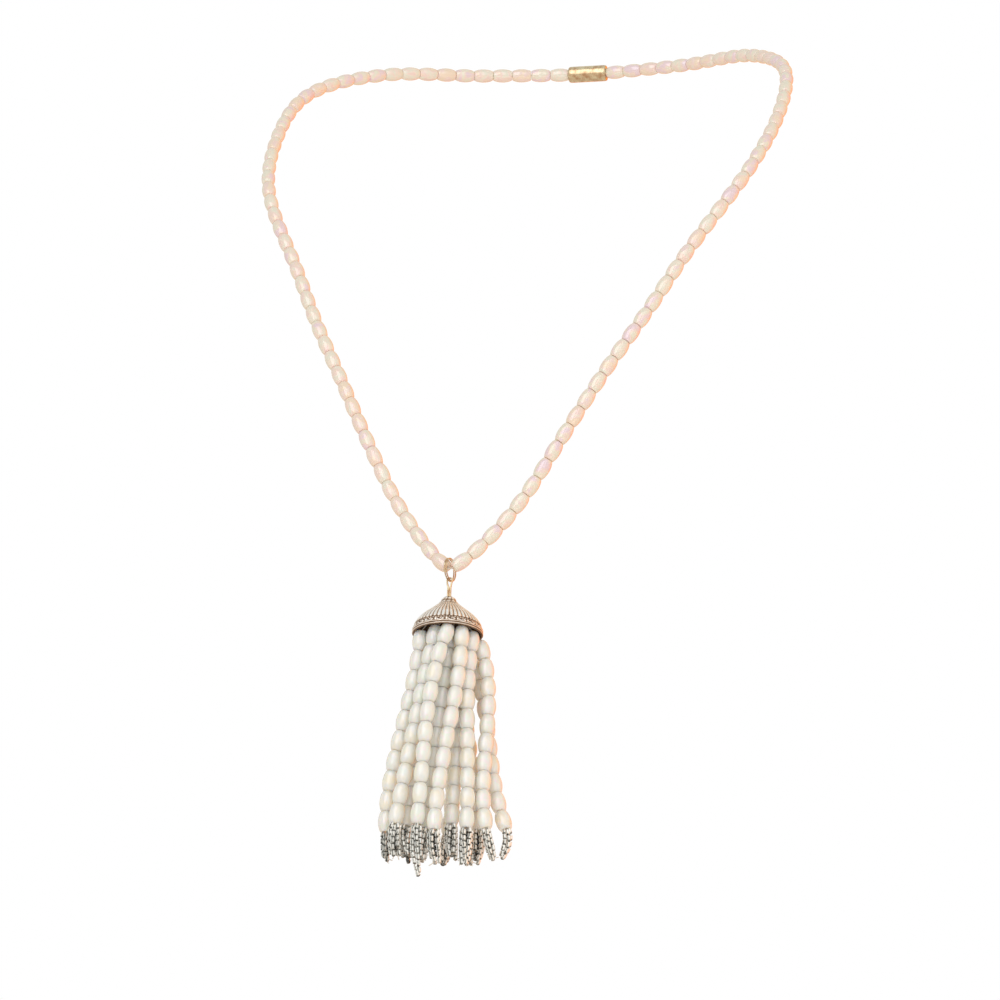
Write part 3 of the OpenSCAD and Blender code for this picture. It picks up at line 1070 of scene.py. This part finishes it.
@dataclass
class SeedFringe:
    """Short strings of cut seed beads under each strand, and the cut ends of their threads.

    The facets round a bead get painted reflections as their tones: one bright, the next nearly black. The
    ends of each bead and a bundle's middle string are painted darker, as painted shade between the beads and
    between the strings.
    """

    seed_bead: BeadForm = BeadForm(
        1.76 * MM, 1.15 * MM, 1.0 * MM, 0.3 * MM, stations=6, around=10, shoulder=9.0
    )
    pitch: float = 1.79 * MM
    first_bead: float = 0.3
    stagger: float = 0.45
    loose: float = 0.2
    end_thread: float = 0.24 * MM
    end_length: Span = (1.0, 2.4)
    end_lean: Span = (0.2, 1.2)
    end_bend: float = 0.35
    keeps_way: float = 0.45
    line_points: int = 60
    tip_corners: int = 8
    gather_at: tuple[float, ...] = (0, 0.12, 0.6, 1)
    wander: float = 0.3
    bundles: int = 12
    forms: dict[int, BundleForm] = field(
        default_factory=lambda: {1: SHADED_BUNDLE, 4: LONG_BUNDLE, 8: SLIM_BUNDLE, 9: SLIM_BUNDLE}
    )
    # Painted reflections: the tones of the ten facets round a seed bead, bright and nearly black in turn,
    # with a random spread.
    cut: tuple[float, ...] = (0.95, 0.85, 0.05, 0.9, 1.0, 0.1, 0.85, 0.95, 0.05, 0.9)
    facet_glint_spread: Span = (-0.15, 0.1)
    darkest: float = 0.05
    # Painted shade at the ends of each seed bead and on its hole's wall, where it meets its neighbours.
    end_painted_shade: float = 0.2
    # Painted shade: a bundle's middle string has its tones dimmed by this much, as shade deep in the bundle.
    core_painted_shade: float = 0.15

    def centre_line(self, index: int) -> tuple[Array, float]:
        """The bundle's middle line, a bow that leaves the strand along its last bead and ends at the tip.

        It is the curve of second degree from the foot to the tip that is drawn towards a point ahead of the
        foot.

        Args:
            index: the strand's number.

        Returns:
            Points evenly spaced from the foot to the tip, and the line's length.
        """
        middles, axes = bead_places(f"strand_{index:02d}")
        low, high = box_corners(f"fringe_{index:02d}")
        corners, _ = welded_corners(f"fringe_{index:02d}")
        tip = corners[np.argsort(corners[:, 2])[: self.tip_corners]].mean(0)
        foot = middles[-1] + axes[-1] * (middles[-1][2] - high[2]) / -axes[-1][2]
        ahead = foot + axes[-1] * (high[2] - low[2]) * self.keeps_way
        t = np.linspace(0, 1, self.line_points)[:, None]
        line = (1 - t) ** 2 * foot + 2 * t * (1 - t) * ahead + t * t * tip
        run = np.concatenate([[0], np.cumsum(np.linalg.norm(np.diff(line, axis=0), axis=1))])
        even = np.linspace(0, run[-1], self.line_points)
        return np.stack([np.interp(even, run, line[:, k]) for k in range(3)], 1), float(run[-1])

    def string_way(self, line: Array, form: BundleForm, angle: float, phase: float, core: bool) -> Array:
        """One string's way: the middle line, moved out at an angle that wanders along a sine.

        Args:
            line: points of the bundle's middle line.
            form: how the bundle's strings lie.
            angle: where round the middle line the string stands.
            phase: where its sine starts.
            core: whether it is the middle string, which keeps to the line.

        Returns:
            The string's points.
        """
        share = np.linspace(0, 1, len(line))
        side, other = across_axes(unit(np.gradient(line, axis=0)))
        foot, body, tip = form.gather
        away = form.spread * np.interp(share, self.gather_at, (foot, body, body, tip)) * (0 if core else 1)
        turn = angle + self.wander * np.sin(3 * share + phase)
        return line + away[:, None] * (np.cos(turn)[:, None] * side + np.sin(turn)[:, None] * other)

    def thread_end(self, way: Array, reach: float, draw: np.random.Generator) -> tuple[Array, list]:
        """A cut end of thread at a string's end: a short arc that leaves it at a chance angle.

        Args:
            way: the string's points.
            reach: how far along them its last bead is, from 0 to 1.
            draw: the bundle's random draws.

        Returns:
            The points and the faces of a thin tube.
        """
        last = min(len(way) - 1, int(reach * (len(way) - 1)))
        heading = unit(way[last] - way[last - 3])
        side, other = across_axes(heading)
        turn = draw.uniform(0, 2 * np.pi)
        lean, length = draw.uniform(*self.end_lean), draw.uniform(*self.end_length) * MM
        out = np.cos(turn) * side + np.sin(turn) * other
        t = np.linspace(0, 1, 8)[:, None]
        path = way[last] + length * ((t - self.end_bend * t * t) * heading + lean * t * t * out)
        return swept_tube(path, self.end_thread / 2, 5, ASLANT, closed=False)

    def bundle(self, index: int, beads: bpy.types.Material) -> list[tuple[Array, list]]:
        """Makes one bundle.

        Args:
            index: the strand's number.
            beads: the seed beads' material.

        Returns:
            The points and the faces of each cut end of thread.
        """
        form = self.forms.get(index, FULL_BUNDLE)
        draw = np.random.default_rng(40 + index)
        line, length = self.centre_line(index)
        share = np.linspace(0, 1, len(line))
        first_angle = draw.uniform(0, 2 * np.pi)
        parts, tones, ends = [], [], []
        for k in range(form.strings + form.core):
            core = k == form.strings
            reach = 1.0 if k < form.long_strings else draw.uniform(*form.short_reach)
            angle = first_angle + 2 * np.pi * k / form.strings
            way = self.string_way(line, form, angle, draw.uniform(0, 6), core)
            number = max(2, round(length * reach / self.pitch))
            start = self.first_bead + self.stagger * (k % 2) + draw.uniform(0, self.loose)
            at = (np.arange(number) + start) * self.pitch / length
            middles = np.stack([np.interp(at, share, way[:, x]) for x in range(3)], 1)
            axes = unit(np.stack([np.interp(at, share, np.gradient(way[:, x])) for x in range(3)], 1))
            parts.append(self.seed_bead.row(middles, axes))
            # Painted shade: the tones of a bundle's middle string, and those of a shaded bundle, are dimmed.
            tones.append(self.painted_facet_tones(draw, number) * (self.core_painted_shade if core else form.shade))
            if not core:
                ends.append(self.thread_end(way, at[-1], draw))
        points, faces = joined(parts)
        make_piece(
            f"seed_bundle_{index:02d}", points, faces, beads, Body.TASSEL,
            [f"fringe_{index:02d}"], smooth=False, attributes={"tone": np.concatenate(tones)},
        )
        return ends

    def painted_facet_tones(self, draw: np.random.Generator, number: int) -> Array:
        """A tone for each face: each long facet of a bead has its own painted reflection, and the faces at
        its ends and on its hole's wall are painted dark, as shade between the beads.

        Args:
            draw: the bundle's random draws.
            number: how many beads the string has.

        Returns:
            The tones, in the order of the faces.
        """
        rows = self.seed_bead.stations
        shades = np.array(self.cut) + draw.uniform(*self.facet_glint_spread, (number, 1, len(self.cut)))
        tones = np.repeat(np.clip(shades, self.darkest, 1), rows, 1)
        # Painted shade on the bead's two end rows and its hole's wall.
        tones[:, [0, rows - 2, rows - 1]] = self.end_painted_shade
        return tones.ravel()

    def build(self) -> None:
        """Makes all the bundles and the cut ends of thread under them."""
        beads = SilverLinedGlass().material()
        ends = [end for index in range(1, self.bundles + 1) for end in self.bundle(index, beads)]
        points, faces = joined(ends)
        make_piece("thread_ends", points, faces, WaxedThread().material(), Body.TASSEL, [])


@dataclass
class BarrelClasp:
    """The plain gilt barrel at the nape, with softened ends and a hole for the thread."""

    length: float = 12.0 * MM
    diameter: float = 5.0 * MM
    bore: float = 0.9 * MM

    def build(self) -> None:
        """Makes the barrel where the CAD clasp is."""
        form = BeadForm(
            self.length, self.diameter, self.diameter, self.bore, stations=36, around=48, shoulder=16.0
        )
        points, faces = form.row(*bead_places("clasp"))
        make_piece("barrel_clasp", points, faces, GiltWire().material(), Body.LOOP, ["clasp"])


@dataclass
class Threads:
    """The loop's thread and the strands' threads, which keep their CAD solids."""

    strands: int = 12

    def build(self) -> None:
        """Gives the CAD nodes their finish."""
        finish = WaxedThread().material()
        for name in ["neck_thread"] + [f"thread_{i:02d}" for i in range(1, self.strands + 1)]:
            mesh = frame["nodes"][name].data
            mesh.materials.clear()
            mesh.materials.append(finish)
            log.info("%s: dressed", name)


@dataclass(frozen=True)
class PhotoView:
    """The camera, where the photograph was taken from: below the necklace and to the wearer's left."""

    azimuth: float = 16.25
    elevation: float = -22.0
    roll: float = 2.0
    distance: float = 1.5
    pixels_per_mm: float = 3.554
    lowest_point_px: tuple[float, float] = (450.1, 568.5)
    image_px: float = 1000.0
    sensor_mm: float = 36.0

    def build(self) -> None:
        """Makes the camera. The image's middle lies beside the loop's lowest point by the pixels between."""
        lowest = Vector(joint("ring_swing")["pos_m"])
        azimuth, elevation, roll = (np.radians(a) for a in (self.azimuth, self.elevation, self.roll))
        level = Vector((np.cos(azimuth), np.sin(azimuth), 0))
        back = Vector(
            (np.sin(azimuth) * np.cos(elevation), -np.cos(azimuth) * np.cos(elevation), np.sin(elevation))
        )
        upright = back.cross(level)
        right = level * np.cos(roll) + upright * np.sin(roll)
        up = back.cross(right)
        metres = MM / self.pixels_per_mm
        aside = (self.image_px / 2 - self.lowest_point_px[0]) * metres
        above = (self.lowest_point_px[1] - self.image_px / 2) * metres
        place = lowest + back * self.distance + right * aside + up * above
        data = bpy.data.cameras.new("photo_camera")
        data.sensor_width = self.sensor_mm
        data.lens = self.sensor_mm * self.distance * self.pixels_per_mm / MM / self.image_px
        data.clip_start, data.clip_end = 0.05, 50.0
        camera = bpy.data.objects.new("photo_camera", data)
        camera.matrix_world = Matrix.Translation(place) @ Matrix((right, up, back)).transposed().to_4x4()
        bpy.context.scene.collection.objects.link(camera)
        bpy.context.scene.camera = camera


@dataclass
class Studio:
    """A pale floor far below, a window of two panes, a lamp by the camera and a room, warm behind."""

    floor_height: float = -1.3
    floor_side: float = 12.0
    window_distance: float = 2.2
    room_strength: float = 1.42

    def floor(self) -> None:
        """A large sheet of paper, which isn't part of the object."""
        half = self.floor_side / 2
        corners = np.array([[-1, -1], [1, -1], [1, 1], [-1, 1]]) * half
        points = np.column_stack([corners, np.full(4, self.floor_height)])
        mesh = bpy.data.meshes.new("studio_floor")
        mesh.from_pydata(points.tolist(), [], [[0, 1, 2, 3]])
        mesh.materials.append(StudioPaper().material())
        floor = bpy.data.objects.new("studio_floor", mesh)
        bpy.context.scene.collection.objects.link(floor)

    def placed(self, azimuth: Span, elevation: Span) -> tuple[Vector, Vector, float, float]:
        """Where a rectangle stands that the necklace sees between two azimuths and two elevations.

        Args:
            azimuth: its left and right edges, in degrees from the front to the wearer's left.
            elevation: its lower and upper edges, in degrees above the horizon.

        Returns:
            Its middle, the direction to it, its width and its height.
        """
        target = Vector(joint("ring_swing")["pos_m"])
        turn, rise = (np.radians(sum(pair) / 2) for pair in (azimuth, elevation))
        out = Vector((np.sin(turn) * np.cos(rise), -np.cos(turn) * np.cos(rise), np.sin(rise)))
        width, height = (
            2 * self.window_distance * np.tan(np.radians((pair[1] - pair[0]) / 2))
            for pair in (azimuth, elevation)
        )
        return target + out * self.window_distance, out, width, height

    def card(self, name: str, azimuth: Span, elevation: Span, radiance: float) -> None:
        """A glowing sheet that shows in reflections alone, like a pane of the window.

        Args:
            name: its name.
            azimuth: its left and right edges, as in placed.
            elevation: its lower and upper edges.
            radiance: its brightness, where white paper in full light is about 1.
        """
        middle, out, width, height = self.placed(azimuth, elevation)
        side = out.cross(Vector((0, 0, 1))).normalized()
        rise = out.cross(side)
        square = ((-1, -1), (1, -1), (1, 1), (-1, 1))
        corners = [middle + side * width * x / 2 + rise * height * y / 2 for x, y in square]
        mesh = bpy.data.meshes.new(name)
        mesh.from_pydata([tuple(corner) for corner in corners], [], [[0, 1, 2, 3]])
        material, tree = new_material(name)
        glow = add_node(tree, "ShaderNodeEmission", {"Color": WINDOW_WHITE, "Strength": radiance})
        close_material(tree, glow)
        material.cycles.emission_sampling = "NONE"
        mesh.materials.append(material)
        sheet = bpy.data.objects.new(name, mesh)
        sheet.visible_camera = sheet.visible_diffuse = False
        sheet.visible_shadow = sheet.visible_transmission = False
        bpy.context.scene.collection.objects.link(sheet)

    def lamp(self, name: str, azimuth: Span, elevation: Span, radiance: float) -> None:
        """An area light that shows in no reflection.

        Args:
            name: its name.
            azimuth: its left and right edges, as in placed.
            elevation: its lower and upper edges.
            radiance: its brightness, as for a card.
        """
        middle, out, width, height = self.placed(azimuth, elevation)
        data = bpy.data.lights.new(name, "AREA")
        data.shape = "RECTANGLE"
        data.size, data.size_y = width, height
        data.energy = radiance * np.pi * width * height
        data.color = WINDOW_WHITE[:3]
        light = bpy.data.objects.new(name, data)
        light.location = middle
        light.rotation_euler = out.to_track_quat("Z", "Y").to_euler()
        light.visible_camera = light.visible_glossy = False
        bpy.context.scene.collection.objects.link(light)

    def room(self) -> None:
        """The room's light: neutral, and warm from behind on the right. The camera sees it as white."""
        world = bpy.data.worlds.new("soft_room")
        bpy.context.scene.world = world
        world.use_nodes = True
        tree = world.node_tree
        tree.nodes.clear()
        way = add_node(tree, "ShaderNodeTexCoord").outputs["Generated"]
        warm_side = Vector((0.5, 0.85, -0.2)).normalized()
        toward = add_node(tree, "ShaderNodeVectorMath", {0: way, 1: warm_side}, operation="DOT_PRODUCT")
        share = stretched(tree, toward.outputs["Value"], 0.0, 1.0, source=(0.1, 0.85))
        colour = add_ramp(tree, share, {0.0: "#BFC1BE", 0.4: "#CFB898", 1.0: "#F8974A"})
        lit = add_node(
            tree, "ShaderNodeBackground", {"Color": colour.outputs[0], "Strength": self.room_strength}
        )
        seen = add_node(tree, "ShaderNodeBackground", {"Color": (1.0, 1.0, 1.0, 1.0), "Strength": 1.0})
        camera_ray = add_node(tree, "ShaderNodeLightPath").outputs["Is Camera Ray"]
        mixed = add_node(tree, "ShaderNodeMixShader", {0: camera_ray, 1: lit.outputs[0], 2: seen.outputs[0]})
        add_node(tree, "ShaderNodeOutputWorld", {"Surface": mixed.outputs[0]})

    def build(self) -> None:
        """Makes the floor, the lights and the room."""
        self.floor()
        self.card("left_card", (-30.0, 8.0), (-6.0, 48.0), 2.1)
        self.card("right_card", (19.0, 36.0), (-4.0, 46.0), 1.5)
        self.lamp("lamp_by_the_camera", (0.0, 34.0), (-38.0, -4.0), 3.2)
        self.room()
        bpy.context.scene.view_settings.view_transform = "Standard"


def main() -> None:
    """Builds the studio, the camera and the necklace's pieces in order."""
    logging.basicConfig(level=logging.INFO, format="%(message)s")
    pieces = (BeadStrings(), RingAndLink(), BellCap(), SeedFringe(), BarrelClasp(), Threads())
    for part in (PhotoView(), Studio(), *pieces):
        log.info("building %s", type(part).__name__)
        part.build()


if __name__ == "__main__":
    main()
